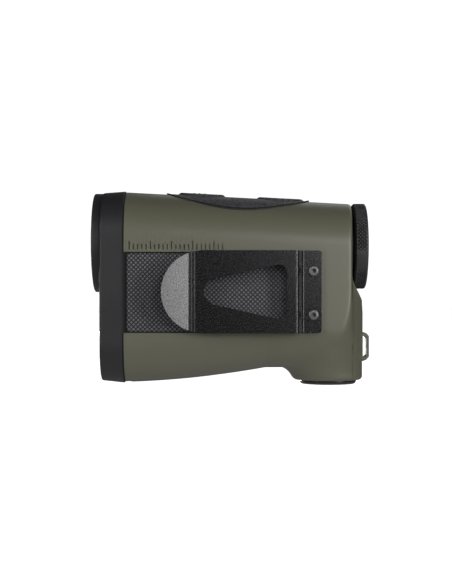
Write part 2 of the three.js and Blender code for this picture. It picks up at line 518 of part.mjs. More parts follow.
piece("lanyard_loop", lanyardLoop(), "olive");

export default object;
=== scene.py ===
# Looks of the laser rangefinder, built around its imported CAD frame. Shapes are worked out in
# millimetres, in the frame's own axes, and turned into metres when a mesh is made.

import json
import math

import bmesh
import bpy
import numpy as np
from mathutils import Matrix, Vector


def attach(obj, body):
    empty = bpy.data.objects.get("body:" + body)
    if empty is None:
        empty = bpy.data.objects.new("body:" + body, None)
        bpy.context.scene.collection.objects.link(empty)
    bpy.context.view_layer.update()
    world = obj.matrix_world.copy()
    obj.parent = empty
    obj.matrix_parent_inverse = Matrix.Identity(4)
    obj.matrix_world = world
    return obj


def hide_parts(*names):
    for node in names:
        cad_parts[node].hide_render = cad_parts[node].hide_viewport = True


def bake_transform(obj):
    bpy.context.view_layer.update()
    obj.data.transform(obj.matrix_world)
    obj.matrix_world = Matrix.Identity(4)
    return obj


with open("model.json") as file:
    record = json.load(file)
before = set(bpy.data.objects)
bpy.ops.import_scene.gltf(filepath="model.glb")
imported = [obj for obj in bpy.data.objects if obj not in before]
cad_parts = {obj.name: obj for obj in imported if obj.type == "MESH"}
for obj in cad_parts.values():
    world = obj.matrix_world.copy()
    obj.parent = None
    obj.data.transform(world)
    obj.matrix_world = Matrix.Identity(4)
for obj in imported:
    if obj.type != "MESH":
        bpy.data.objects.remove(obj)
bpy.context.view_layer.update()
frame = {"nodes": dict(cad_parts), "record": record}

MM = 0.001
OUT = 60.0  # beyond any surface, in mm


# ------------------------------------------------------------------ camera, floor and light

EYE_DISTANCE = 498.0
EYE = (-37.5, -EYE_DISTANCE, 33.66)
VIEW_HEIGHT = 215.3  # mm seen from top to bottom, at the middle of the object


def make_camera():
    data = bpy.data.cameras.new("camera")
    data.sensor_fit = "VERTICAL"
    data.sensor_height = 36
    data.lens = 36 * EYE_DISTANCE / VIEW_HEIGHT
    data.clip_start = 0.02
    camera = bpy.data.objects.new("camera", data)
    camera.location = Vector(EYE) * MM
    camera.rotation_euler = (math.pi / 2, 0, 0)
    bpy.context.collection.objects.link(camera)
    bpy.context.scene.camera = camera


WORLD = dict(below=0.38, level=0.03, above=0.01)  # brightness around the object, by height
LIGHTS = {  # place and size in mm, power in watts
    "key_right": ((440, -443, 69), (110, 240), 1.35),
    "high_right": ((378, -399, 340), (240, 260), 0.5),
    "front": ((151, -608, 170), (220, 240), 0.8),
    "key_left": ((-489, -438, 192), (260, 420), 1.4),
    "back": ((150, 600, 420), (500, 300), 0.5),
    "behind": ((-310, 589, 35), (420, 220), 2.6),
}


STAGE = dict(floor=3000, near=2900, far=2950, height=3500)  # half the floor's side, and the backdrop, in mm
MIDDLE = (-35, 0, 35)  # where the lights point


def area_light(name, place, size, power):
    data = bpy.data.lights.new(name, "AREA")
    data.shape = "RECTANGLE"
    data.size, data.size_y = size[0] * MM, size[1] * MM
    data.energy = power
    lamp = bpy.data.objects.new(name, data)
    lamp.location = Vector(place) * MM
    aim = Vector(MIDDLE) - Vector(place)
    lamp.rotation_euler = aim.to_track_quat("-Z", "Y").to_euler()
    bpy.context.collection.objects.link(lamp)


def make_stage():
    """Soft studio light, and a white floor and backdrop that only the camera sees."""
    world = bpy.data.worlds.new("studio")
    world.use_nodes = True
    tree = world.node_tree
    split = tree.nodes.new("ShaderNodeSeparateXYZ")
    tree.links.new(tree.nodes.new("ShaderNodeTexCoord").outputs["Generated"], split.inputs["Vector"])
    ramp = tree.nodes.new("ShaderNodeValToRGB")
    ramp.color_ramp.interpolation = "EASE"
    ramp.color_ramp.elements[0].color = (*[WORLD["below"]] * 3, 1)
    ramp.color_ramp.elements[1].color = (*[WORLD["above"]] * 3, 1)
    horizon = ramp.color_ramp.elements.new(0.5)
    horizon.color = (*[WORLD["level"]] * 3, 1)
    tree.links.new(spread(tree, split.outputs["Z"], 0, 1, -1, 1), ramp.inputs["Fac"])
    tree.links.new(ramp.outputs["Color"], tree.nodes["Background"].inputs["Color"])
    bpy.context.scene.world = world
    for name, (place, size, power) in LIGHTS.items():
        area_light(name, place, size, power)

    white = stage_material()
    reach = STAGE["floor"]
    floor = solid("floor", [(-reach, -reach, 0), (reach, -reach, 0), (reach, reach, 0), (-reach, reach, 0)],
                  [(0, 1, 2, 3)])
    walls = lathe("backdrop", [(STAGE["near"], -5), (STAGE["far"], STAGE["height"])], "z", sides=64)
    for stage in (floor, walls):
        stage.data.materials.append(white)
        stage.visible_diffuse = stage.visible_glossy = stage.visible_transmission = False
        stage.visible_shadow = False


# ------------------------------------------------------------------ materials

def shader(name):
    material = bpy.data.materials.new(name)
    material.use_nodes = True
    return material, material.node_tree, material.node_tree.nodes["Principled BSDF"]


def node(tree, kind, **inputs):
    made = tree.nodes.new(kind)
    for key, value in inputs.items():
        made.inputs[key.replace("_", " ")].default_value = value
    return made


def noise(tree, scale, detail=3.0, rough=0.5):
    place = tree.nodes.get("place") or tree.nodes.new("ShaderNodeTexCoord")
    place.name = "place"
    made = node(tree, "ShaderNodeTexNoise", Scale=scale, Detail=detail, Roughness=rough)
    tree.links.new(place.outputs["Object"], made.inputs["Vector"])
    return made


def spread(tree, source, low, high, start=0.3, end=0.7):
    made = tree.nodes.new("ShaderNodeMapRange")
    for key, value in (("From Min", start), ("From Max", end), ("To Min", low), ("To Max", high)):
        made.inputs[key].default_value = value
    tree.links.new(source, made.inputs["Value"])
    return made.outputs["Result"]


def math_node(tree, operation, *values):
    """A sum of sockets and numbers."""
    made = tree.nodes.new("ShaderNodeMath")
    made.operation = operation
    for socket, value in zip(made.inputs, values):
        if isinstance(value, float):
            socket.default_value = value
        else:
            tree.links.new(value, socket)
    return made.outputs["Value"]


def mix(tree, factor, first, second):
    """Goes from the first colour to the second as the factor rises. The first may be a socket."""
    made = tree.nodes.new("ShaderNodeMix")
    made.data_type = "RGBA"
    if isinstance(first, bpy.types.NodeSocket):
        tree.links.new(first, made.inputs["A"])
    else:
        made.inputs["A"].default_value = (*first, 1)
    made.inputs["B"].default_value = (*second, 1)
    tree.links.new(factor, made.inputs["Factor"])
    return made.outputs["Result"]


def bump(tree, bsdf, height, strength, depth, invert=False):
    """Adds a bump, its depth in mm, on top of any that the shader already has."""
    made = node(tree, "ShaderNodeBump", Strength=strength, Distance=depth * MM)
    made.invert = invert
    tree.links.new(height, made.inputs["Height"])
    for link in bsdf.inputs["Normal"].links:
        tree.links.new(link.from_socket, made.inputs["Normal"])
    tree.links.new(made.outputs["Normal"], bsdf.inputs["Normal"])


GLOSS_SPREAD = 0.07  # how far the roughness wanders either way
FINE_SHARE = 0.6  # of the tone's variation; the rest comes from the blotches
BLOTCHES = 55  # a metre


def grainy(name, colour, contrast, rough, grain, depth, metal=0.0, specular=0.5, coat=0.0, blotch=0.4):
    """A moulded or coated surface: fine grain, soft blotches of tone, uneven gloss. Grain and depth in mm."""
    material, tree, bsdf = shader(name)
    fine = noise(tree, 1000 / grain, 2.0).outputs["Fac"]
    broad = noise(tree, BLOTCHES, 4.0).outputs["Fac"]
    shifted = spread(tree, broad, 0.2 - blotch / 2, 0.2 + blotch / 2, 0.2, 0.8)
    tone = math_node(tree, "MULTIPLY_ADD", fine, FINE_SHARE, shifted)
    dark = [c * (1 - contrast) for c in colour]
    light = [min(c * (1 + contrast), 1) for c in colour]
    tree.links.new(mix(tree, tone, dark, light), bsdf.inputs["Base Color"])
    gloss = spread(tree, tone, rough - GLOSS_SPREAD, rough + GLOSS_SPREAD)
    tree.links.new(gloss, bsdf.inputs["Roughness"])
    bsdf.inputs["Metallic"].default_value = metal
    bsdf.inputs["Specular IOR Level"].default_value = specular
    bsdf.inputs["Coat Weight"].default_value = coat
    bsdf.inputs["Coat Roughness"].default_value = 0.3
    bump(tree, bsdf, fine, 0.5, depth)
    return material


def overlay(material, factor, colour):
    """Lays a colour over a material's own, as much as a factor says."""
    tree, bsdf = material.node_tree, material.node_tree.nodes["Principled BSDF"]
    own = bsdf.inputs["Base Color"].links[0].from_socket
    tree.links.new(mix(tree, factor, own, colour), bsdf.inputs["Base Color"])
    return material


def paint_groove_shade(material, distance, bottom, top, dark):
    """Paints shade into grooves: darkens a material from the top of its pattern to the bottom of the grooves,
    both in mm.
    """
    tree = material.node_tree
    split = tree.nodes.new("ShaderNodeSeparateXYZ")
    tree.links.new(tree.nodes["place"].outputs["Object"], split.inputs["Vector"])
    return overlay(material, spread(tree, distance(tree, split), 1, 0, bottom * MM, top * MM), dark)


def speckled(material, grain, amount, colour):
    """Adds light specks to a material; a larger amount gives more of them."""
    tree = material.node_tree
    specks = noise(tree, 1000 / grain, 1.0)
    return overlay(material, spread(tree, specks.outputs["Fac"], 0, 1, 0.66 - amount, 0.7 - amount), colour)


def sideways(tree, split):
    """Distance from the middle plane."""
    return math_node(tree, "ABSOLUTE", split.outputs["Y"])


def from_eye_axis(tree, split):
    """Distance from the eyepiece's axis."""
    up = math_node(tree, "SUBTRACT", split.outputs["Z"], OCULAR_Z * MM)
    height_squared = math_node(tree, "MULTIPLY", up, up)
    side_squared = math_node(tree, "MULTIPLY", split.outputs["Y"], split.outputs["Y"])
    return math_node(tree, "SQRT", math_node(tree, "ADD", height_squared, side_squared))


# ------------------------------------------------------------------ meshes

def dress(obj, material, body, replaced=(), sharp=32):
    """Gives a piece its material and puts it on its body, in place of its CAD nodes."""
    obj.data.materials.clear()
    obj.data.materials.append(material)
    if body:
        smooth(obj, sharp)
        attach(obj, body)
        if replaced:
            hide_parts(*replaced)
    return obj


def smooth(obj, sharp):
    """Smooth shading with sharp edges kept, led by the larger faces."""
    obj.data.shade_smooth()
    obj.data.set_sharp_from_angle(angle=math.radians(sharp))
    apply(obj, "WEIGHTED_NORMAL", keep_sharp=True)


def apply(obj, kind, **settings):
    """Adds a modifier and applies it at once."""
    modifier = obj.modifiers.new(kind.lower(), kind)
    for key, value in settings.items():
        setattr(modifier, key, value)
    depsgraph = bpy.context.evaluated_depsgraph_get()
    mesh = bpy.data.meshes.new_from_object(obj.evaluated_get(depsgraph))
    obj.modifiers.clear()
    obj.data = mesh
    return obj


def boolean(obj, operation, *tools):
    """Cuts or joins an object with each of the tools, and removes them."""
    for tool in tools:
        apply(obj, "BOOLEAN", operation=operation, solver="MANIFOLD", object=tool)
        bpy.data.objects.remove(tool)
    return obj


def solid(name, verts, faces):
    """A bare mesh from points in mm, with its faces turned outwards."""
    data = bpy.data.meshes.new(name)
    data.from_pydata([tuple(v) for v in np.asarray(verts, float) * MM], [], faces)
    mesh = bmesh.new()
    mesh.from_mesh(data)
    bmesh.ops.remove_doubles(mesh, verts=mesh.verts, dist=1e-7)
    bmesh.ops.dissolve_degenerate(mesh, edges=mesh.edges, dist=1e-8)
    bmesh.ops.recalc_face_normals(mesh, faces=mesh.faces)
    mesh.to_mesh(data)
    mesh.free()
    obj = bpy.data.objects.new(name, data)
    bpy.context.collection.objects.link(obj)
    return obj


def grid_rim(rows, columns):
    """Numbers of the outer points of a grid stored row by row, in order around it."""
    last = rows - 1
    return [*range(columns), *[i * columns + columns - 1 for i in range(1, rows)],
            *[last * columns + i for i in range(columns - 2, -1, -1)],
            *[i * columns for i in range(rows - 2, 0, -1)]]


def grid_faces(rows, columns, wrap_rows=False, wrap_columns=False, offset=0):
    """Quads over a grid of points stored row by row."""
    faces = []
    for i in range(rows if wrap_rows else rows - 1):
        for j in range(columns if wrap_columns else columns - 1):
            a, b = i, (i + 1) % rows
            c, d = j, (j + 1) % columns
            faces.append(tuple(offset + r * columns + s for r, s in ((a, c), (a, d), (b, d), (b, c))))
    return faces


AXES = {"x": (0, 1, 2), "y": (1, 2, 0), "z": (2, 0, 1)}  # along, then the two across


def lathe(name, profile, axis="x", centre=(0, 0, 0), sides=128, closed=False):
    """Turns [radius, distance] pairs about an axis. An open profile starts and ends on the axis."""
    along, side, up = AXES[axis]
    profile = np.asarray(profile, float)
    angles = np.linspace(0, 2 * math.pi, sides, endpoint=False)
    verts = np.zeros((len(profile), sides, 3))
    verts[:, :, along] = profile[:, 1, None]
    verts[:, :, side] = profile[:, 0, None] * np.cos(angles)
    verts[:, :, up] = profile[:, 0, None] * np.sin(angles)
    verts += np.array(centre)
    faces = grid_faces(len(profile), sides, wrap_rows=closed, wrap_columns=True)
    return solid(name, verts.reshape(-1, 3), faces)


def rounded(profile, radii, steps=5):
    """Rounds the corners of an outline: one radius for each point, 0 to keep it."""
    points = []
    for i, (corner, radius) in enumerate(zip(profile, radii)):
        if not radius:
            points.append(tuple(corner))
            continue
        corner = np.array(corner, float)
        before = np.array(profile[i - 1], float) - corner
        after = np.array(profile[(i + 1) % len(profile)], float) - corner
        before /= np.linalg.norm(before)
        after /= np.linalg.norm(after)
        half = math.acos(np.clip(before @ after, -1, 1)) / 2
        reach = radius / math.tan(half)
        centre = corner + (before + after) / np.linalg.norm(before + after) * radius / math.sin(half)
        start, end = corner + before * reach - centre, corner + after * reach - centre
        sweep = math.atan2(start[0] * end[1] - start[1] * end[0], start @ end)
        for k in range(steps + 1):
            turn = sweep * k / steps
            c, s = math.cos(turn), math.sin(turn)
            points.append(tuple(centre + (start[0] * c - start[1] * s, start[0] * s + start[1] * c)))
    return points


def prism(name, outline, axis, low, high):
    """Extrudes an outline along an axis; its points are given in the two axes across, in order."""
    along, side, up = AXES[axis]
    count = len(outline)
    verts = np.zeros((2 * count, 3))
    verts[:, side] = [p[0] for p in outline] * 2
    verts[:, up] = [p[1] for p in outline] * 2
    verts[:count, along], verts[count:, along] = low, high
    sides = [(i, (i + 1) % count, count + (i + 1) % count, count + i) for i in range(count)]
    faces = [tuple(range(count))[::-1], tuple(range(count, 2 * count)), *sides]
    return solid(name, verts, faces)


def box(name, x, y, z):
    return prism(name, [(x[0], y[0]), (x[1], y[0]), (x[1], y[1]), (x[0], y[1])], "z", *z)


# ------------------------------------------------------------------ form of the housing

BODY = dict(side=20.0, front=-73.75, rear=8.2, bow=1.0, top=70.3, fall=0.0525, top_arc=16.0, bottom_arc=14.8,
            bottom_flat=7.0)
COLUMN = dict(r=12.6, bottom=1.5, edge=1.4, roof=30.3, roof_slope=1.7, top=40.0)
FILLET = dict(r=6.2, upper_r=1.5, low=26.0, high=36.0)  # where the column meets the trunk
CHIN = dict(height=1.23, slope=0.02, curve=0.0016, length=50.5)  # the underside's rise behind the bezel
REAR_EDGE = dict(r=1.2, extra=9, top=37, run=23, power=2.6)  # rounder towards the bottom
HUB_Z = 28.0  # a height inside every section


def rounded_both(a, b, r):
    """What two fields have in common, its edge rounded."""
    return np.minimum(np.maximum(a, b), -r) + np.hypot(np.maximum(a + r, 0), np.maximum(b + r, 0))


def filleted_either(a, b, r):
    """Two fields joined, with a fillet between them."""
    return np.maximum(np.minimum(a, b), r) - np.hypot(np.maximum(r - a, 0), np.maximum(r - b, 0))


def chin_line(x):
    run = np.clip(x - BODY["front"], 0, CHIN["length"])
    return CHIN["height"] + CHIN["slope"] * run + CHIN["curve"] * run * run


def top_line(x):
    return BODY["top"] - BODY["fall"] * (x - BODY["front"])


def body_field(x, y, z):
    """Signed distance, near enough, to the housing's surface: negative inside."""
    low = chin_line(x) + BODY["bottom_arc"]
    high = top_line(x) - BODY["top_arc"]
    rise = np.where(z > high, (z - high) / BODY["top_arc"], np.minimum(z - low, 0) / BODY["bottom_arc"])
    flat = np.where(z < low, BODY["bottom_flat"], 0)
    arc = BODY["side"] - flat
    section = (np.hypot(np.maximum(np.abs(y) - flat, 0) / arc, rise) - 1) * arc
    softness = np.clip((REAR_EDGE["top"] - z) / REAR_EDGE["run"], 0, 1) ** REAR_EDGE["power"]
    end = x - BODY["rear"] + BODY["bow"] * (y / BODY["side"]) ** 2
    trunk = rounded_both(section, end, REAR_EDGE["r"] + REAR_EDGE["extra"] * softness)
    slope = COLUMN["roof_slope"]
    roof = (z - COLUMN["roof"] - slope * (COLUMN["r"] - x)) / math.hypot(1, slope)
    column = np.maximum(np.maximum(np.hypot(x, y) - COLUMN["r"], roof), z - COLUMN["top"])
    tight = np.clip((z - FILLET["low"]) / (FILLET["high"] - FILLET["low"]), 0, 1)
    both = filleted_either(trunk, column, FILLET["r"] + (FILLET["upper_r"] - FILLET["r"]) * tight)
    floor = COLUMN["bottom"] - np.clip(-x / 15 - 2, 0, 3)
    return rounded_both(both, floor - z, COLUMN["edge"])


def crossing(inside, outside, test):
    """Halves the way between points inside and outside until it is on the surface."""
    for _ in range(22):
        middle = (inside + outside) / 2
        within = test(middle)
        inside = np.where(within, middle, inside)
        outside = np.where(within, outside, middle)
    return inside


def half_ring(x, grow, count, seam=0.0):
    """The outline at one station from the bottom to the top on the +Y side, evenly spaced."""
    angles = np.linspace(-math.pi / 2, math.pi / 2, 3 * count)
    out, up = np.cos(angles), np.sin(angles)
    field_x = np.full_like(angles, min(max(x, BODY["front"]), 12.58))
    reach = crossing(np.zeros_like(angles), np.full_like(angles, OUT),
                     lambda t: body_field(field_x, t * out, HUB_Z + t * up) < grow)
    y, z = reach * out, HUB_Z + reach * up
    length = np.concatenate([[0], np.cumsum(np.hypot(np.diff(y), np.diff(z)))])
    even = np.linspace(0, length[-1], count)
    y, z = np.interp(even, length, y), np.interp(even, length, z)
    return np.stack([np.full(count, x), np.maximum(y, seam), z], axis=1)


def surface_z(x, y, grow, up=True):
    """Height of the top or the underside at points of the plan."""
    x, y = np.broadcast_arrays(np.asarray(x, float), np.asarray(y, float))
    start = np.full(x.shape, HUB_Z)
    end = np.full(x.shape, 90.0 if up else -30.0)
    return crossing(start, end, lambda z: body_field(x, y, z) < grow)


# ------------------------------------------------------------------ housing halves

def half_form(name, stations, grow, count, seam, cut_through=False):
    """One half of the body's form as a closed solid with a flat face at the seam."""
    rows = np.array([half_ring(x, grow, count, seam) for x in stations])
    if cut_through:
        rows[:, 0, 1] = rows[:, -1, 1] = -1.0
    total = len(stations)
    faces = grid_faces(total, count)
    starts = range(0, (total - 1) * count, count)
    faces += [(start + count, start + 2 * count - 1, start + count - 1, start) for start in starts]
    faces += [tuple(range(count)), tuple(range((total - 1) * count, total * count))]
    return solid(name, rows.reshape(-1, 3), faces)


def full_form(name, stations, grows, count):
    """The whole form as a closed solid, with a grow value for each station."""
    rows = []
    for x, grow in zip(stations, grows):
        half = half_ring(x, grow, count)
        rows.append(np.concatenate([half, half[-2:0:-1] * np.array([1, -1, 1])]))
    rows = np.array(rows)
    around = rows.shape[1]
    faces = grid_faces(len(rows), around, wrap_columns=True)
    faces += [tuple(range(around)), tuple(range((len(rows) - 1) * around, len(rows) * around))]
    return solid(name, rows.reshape(-1, 3), faces)


def crowned(name, centre, half_length, half_width, low, high, rho, sides=160):
    """A solid over an ellipse of the plan, between two heights that depend on x, y and rho (0 to 1)."""
    angles = np.linspace(0, 2 * math.pi, sides, endpoint=False)
    rho = np.asarray(rho, float)[:, None]
    x = centre + half_length * rho * np.cos(angles)
    y = half_width * rho * np.sin(angles)
    top = np.stack([x, y, high(x, y, rho)], axis=2)
    bottom = np.stack([x, y, low(x, y, rho)], axis=2)[::-1]
    rows = np.concatenate([top, bottom])
    return solid(name, rows.reshape(-1, 3), grid_faces(len(rows), sides, wrap_columns=True))


PAD = dict(centre=-33.12, half_length=25.97, half_width=14.5, proud=0.32, depth=0.9)
RIM = dict(out=0.24, end=0.6, width=0.34, proud=0.42, tip=0.3)
BUTTONS = {"measure_button": -46.35, "menu_button": -17.55}
BUTTON = dict(half_length=8.85, half_width=6.2, gap=0.42)
GRIP = dict(front=-72.6, rear=-11.0, bottom=19.7, top=47.3, face=19.6, floor=18.4, back=18.7)
FLAT_RHO = np.linspace(0, 1, 24)
PLAIN_RHO = (0, 0.5, 1)
SEAM = 0.05  # half the gap between the two halves
CLEARANCE = 0.3  # round the button pad and the buttons
TICKS = dict(start=-72.0, pitch=1.5, count=23, width=0.42, depth=0.8, z=48.7, long=3.0, short=1.9)


def level(z):
    """A flat end for crowned()."""
    return lambda x, y, rho: np.full(x.shape, float(z))


def skin(grow):
    """An end for crowned() that follows the housing's top."""
    return lambda x, y, rho: surface_z(x, y, grow)


ABOVE = level(80)  # past the top of the object
BELOW_PAD = level(55)


def housing(side, olive):
    name = "left_housing" if side < 0 else "right_housing"
    stations = np.concatenate([
        np.linspace(-73.75, -27, 44), np.linspace(-26, -9.4, 56), np.linspace(-8.6, 6.2, 30),
        np.linspace(6.5, 8.3, 46), np.linspace(8.45, 11.6, 26), np.linspace(11.7, 12.58, 10)])
    shell = half_form(name, stations, 0.0, 150, SEAM)
    inner_stations = [-76, *np.linspace(-70, -20, 12), *np.linspace(-18, 5.5, 14), *np.linspace(5.8, 10.6, 8)]
    boolean(shell, "DIFFERENCE", half_form("hollow", inner_stations, -1.9, 50, 0.0, cut_through=True))
    if side < 0:
        shell.data.transform(Matrix.Scale(-1, 4, (0, 1, 0)))
        shell.data.flip_normals()
    low, high, rear = GRIP["bottom"] - 0.6, GRIP["top"] + 0.6, GRIP["rear"] + 0.5
    slot = rounded([(low, -76), (high, -76), (high, rear), (low, rear)], [0, 0, 0.8, 0.8])
    depth = sorted((side * GRIP["floor"], side * 23))
    pocket = crowned("pocket", PAD["centre"], PAD["half_length"] + CLEARANCE, PAD["half_width"] + CLEARANCE,
                     skin(-PAD["depth"] - 0.1), ABOVE, FLAT_RHO)
    holes = [crowned("hole", x, BUTTON["half_length"] + CLEARANCE, BUTTON["half_width"] + CLEARANCE,
                     level(62), ABOVE, PLAIN_RHO) for x in BUTTONS.values()]
    column_hole = lathe("cap_hole", [(0, -2), (10.6, -2), (10.6, 2.6), (9.7, 2.6), (9.7, 6), (0, 6)], "z")
    boolean(
        shell, "DIFFERENCE", prism("slot", slot, "y", *depth), pocket, *holes,
        lathe("eye_hole", [(0, 4), (12.1, 4), (12.1, 12), (0, 12)], "x", (0, 0, OCULAR_Z)),
        lathe("ring_relief", [(0, 8.35), (16.1, 8.35), (16.1, 16), (0, 16)], "x", (0, 0, OCULAR_Z), 256),
        column_hole, box("loop_slot", (9, 14), (-2.56, 2.56), (9.0, 18.3)))
    if side < 0:
        boolean(shell, "DIFFERENCE", tick_marks())
    return dress(shell, olive, "body", [name], 38)


BOX_FACES = ((0, 1, 3, 2), (4, 6, 7, 5), (0, 4, 5, 1), (2, 3, 7, 6), (0, 2, 6, 4), (1, 5, 7, 3))


def tick_marks():
    """A plain row of shallow marks above the grip, every fifth one longer."""
    verts, faces = [], []
    for i in range(TICKS["count"]):
        x = TICKS["start"] + i * TICKS["pitch"]
        across = (x, x + TICKS["width"])
        depth = (-BODY["side"] - 1, -BODY["side"] + TICKS["depth"])
        height = (TICKS["z"], TICKS["z"] + (TICKS["short"] if i % 5 else TICKS["long"]))
        base = len(verts)
        verts += [(a, b, c) for a in across for b in depth for c in height]
        faces += [tuple(base + corner for corner in face) for face in BOX_FACES]
    return solid("ticks", verts, faces)


# ------------------------------------------------------------------ bezel and objective

HOOD_Z, EMITTER_Z, OCULAR_Z = 51.7, 17.0, 50.5  # heights of the three optical axes
BEZEL = dict(front=-82.45, rear=-74.25, proud=0.4, draft=0.75, edge=0.6, relief=0.12)
HOOD = dict(front=-85.65, r=18.1, edge=0.55)


def bezel_grow(x):
    """How far the bezel stands out of the housing's form: it tapers forward to a round edge."""
    front, rear, edge = BEZEL["front"], BEZEL["rear"], BEZEL["edge"]
    draft = BEZEL["proud"] - BEZEL["draft"] * (rear - x) / (rear - front)
    into_edge = max(front + edge - x, 0)
    lost = edge - math.sqrt(max(edge ** 2 - into_edge ** 2, 0))
    return draft - lost - (BEZEL["relief"] if x > rear - 0.05 else 0)


def front_bezel(material):
    turn = np.linspace(math.pi / 2, 0, 7)
    stations = [*(BEZEL["front"] + BEZEL["edge"] * (1 - np.sin(turn))), *np.linspace(-81.3, -74.6, 14),
                BEZEL["rear"] - 0.1, BEZEL["rear"]]
    shell = full_form("front_bezel", stations, [bezel_grow(x) for x in stations], 150)
    hood = rounded([(0, HOOD["front"]), (HOOD["r"], HOOD["front"]), (HOOD["r"], -80.5), (0, -80.5)],
                   [0, HOOD["edge"], 0, 0])
    spigot = full_form("spigot", [-75.7, -70.5], [-3.2, -3.2], 60)
    boolean(shell, "UNION", lathe("hood", hood, "x", (0, 0, HOOD_Z), 224), spigot)
    recess = rounded([(0, -90), (16.9, -90), (16.3, -85.1), (16.3, -82.4), (14.9, -82.4), (14.9, -81.9),
                      (0, -81.9)], [0, 0, 0.3, 0, 0, 0, 0])
    emitter = rounded([(0, -90), (9.6, -90), (9.6, -82.25), (7.6, -81.75), (0, -81.75)], [0, 0, 0, 0.1, 0])
    boolean(
        shell, "DIFFERENCE", full_form("hollow", [-79.2, -70], [-4.4, -4.4], 60),
        lathe("recess", recess, "x", (0, 0, HOOD_Z), 200),
        lathe("lens_bore", [(0, -84), (13.2, -84), (13.2, -78), (0, -78)], "x", (0, 0, HOOD_Z)),
        lathe("emitter_recess", emitter, "x", (0, 0, EMITTER_Z)),
        lathe("emitter_bore", [(0, -84), (7.1, -84), (7.1, -78), (0, -78)], "x", (0, 0, EMITTER_Z)))
    return dress(shell, material, "body", ["front_bezel"], 30)


def bezel_seal(material):
    ring = full_form("bezel_seal", [-74.21, -73.79], [-0.35, -0.35], 120)
    boolean(ring, "DIFFERENCE", full_form("inside", [-75.2, -72.8], [-2, -2], 60))
    return dress(ring, material, "body", ["bezel_seal"])


def turned(name, profile, axis, centre, material, body, sides=128, closed=False, sharp=32):
    obj = lathe(name, profile, axis, centre, sides, closed)
    return dress(obj, material, body, [name], sharp)


def ring_profile(outer, inner, front, rear, edge):
    corners = [(inner, front), (outer, front), (outer, rear), (inner, rear)]
    return rounded(corners, [edge] * 4, 3)


def lens(name, r, edge, bulge, x, z, material, body):
    """A lens with two bulging faces, edge mm thick at its rim."""
    across = np.linspace(0, 1, 18)
    front = [(r * f, -bulge * (1 - f * f)) for f in across]
    back = [(r * f, edge + bulge * (1 - f * f)) for f in across[::-1]]
    return turned(name, front + back, "x", (x, 0, z), material, body, 96)


def optics(black, rubber, glass):
    grooves = []
    for k in range(4):
        r, x = 12.3 - 0.32 * k, -81.9 + 0.13 * k
        grooves += [(r, x), (r - 0.2, x)]
    retainer = [(12.9, -81.1), (12.9, -81.9), *grooves, (11.1, -81.25), (11.1, -81.1)]
    turned("objective_retainer", retainer, "x", (0, 0, HOOD_Z), black, "body", closed=True)
    retainer = ring_profile(6.8, 5.6, -81.9, -81.3, 0.12)
    turned("emitter_retainer", retainer, "x", (0, 0, EMITTER_Z), black, "body", closed=True)
    lens("objective_lens", 12.5, 2.4, 0.7, -80.2, HOOD_Z, glass, "body")
    lens("emitter_lens", 6.4, 1.4, 0.5, -80.6, EMITTER_Z, glass, "body")
    lens("eye_lens", 8.5, 1.4, 0.6, 8.5, OCULAR_Z, glass, "ocular")
    barrel = [(9.9, 2.4), (11.8, 2.4), (11.8, 3.2), (12.6, 3.2), (12.6, 5), (11.8, 5), (11.8, 12.1),
              (11.6, 12.3), (10.2, 12.3), (9.9, 12)]
    turned("eyepiece_barrel", barrel, "x", (0, 0, OCULAR_Z), black, "body", closed=True)
    cell = [(7.4, -8), (8.6, -8), (8.6, 2.8), (9.6, 3), (9.6, 10.8), (9.4, 11), (8.9, 11), (8.55, 10.4),
            (8.55, 7.6), (7.4, 7.6)]
    turned("ocular_cell", cell, "x", (0, 0, OCULAR_Z), black, "ocular", closed=True)
    cup = rounded([(10.2, 12.6), (13.1, 12.6), (13.1, 13.3), (11.6, 13.5), (10.2, 12.9)],
                  [0.1, 0.1, 0.25, 0.6, 0.15], 4)
    turned("eyecup", cup, "x", (0, 0, OCULAR_Z), rubber, "diopter", closed=True)


RING_R = 15.65
KNURL = dict(pitch=1.0, depth=0.4, front=9.45, rear=12.95, run_out=0.25)


def diopter_ring(material):
    """The knurled ring: a diamond knurl over most of it, with a smooth band low on each side."""
    sides = 720
    band = np.arange(9.55, 12.75, 0.115)
    lead = rounded([(12.1, 8.7), (RING_R - 0.7, 8.7), (RING_R, 9.4), (RING_R, 9.5)], [0.1, 0.15, 0.15, 0], 3)
    tail = rounded([(RING_R, 12.8), (RING_R, 13.6), (13.4, 13.6), (13.4, 12.4), (12.1, 12.4)],
                   [0, 0.75, 0.15, 0, 0.1], 6)
    profile = np.array([*lead, *[(RING_R, x) for x in band], *tail])
    angles = np.linspace(0, 2 * math.pi, sides, endpoint=False)
    radius = np.repeat(profile[:, :1], sides, axis=1)
    along = np.repeat(profile[:, 1:], sides, axis=1)
    arc = np.broadcast_to(angles * RING_R, radius.shape)
    turns = round(2 * math.pi * RING_R / (KNURL["pitch"] * math.sqrt(2)))
    pitch = 2 * math.pi * RING_R / turns
    u, v = (arc + along) / pitch % 1, (arc - along) / pitch % 1
    cell = np.minimum(1 - np.abs(2 * u - 1), 1 - np.abs(2 * v - 1))
    height = np.clip(cell * 1.5, 0, 0.8) / 0.8
    lift = np.sin(angles)  # the angle starts at +Y and climbs towards +Z
    smooth_band = np.exp(-(((lift + 0.36) / 0.24) ** 4)) * (np.abs(np.cos(angles)) > 0.3)
    from_end = np.minimum(along - KNURL["front"], KNURL["rear"] - along)
    inside = np.clip(from_end / KNURL["run_out"], 0, 1) * (radius > RING_R - 0.3)
    radius = radius - KNURL["depth"] * (1 - height) * inside * (1 - smooth_band)
    verts = np.stack([along, radius * np.cos(angles), OCULAR_Z + radius * np.sin(angles)], axis=2)
    ring = solid("diopter_ring", verts.reshape(-1, 3), grid_faces(len(profile), sides, True, True))
    return dress(ring, material, "diopter", ["diopter_ring"], 40)


# ------------------------------------------------------------------ button pad and buttons

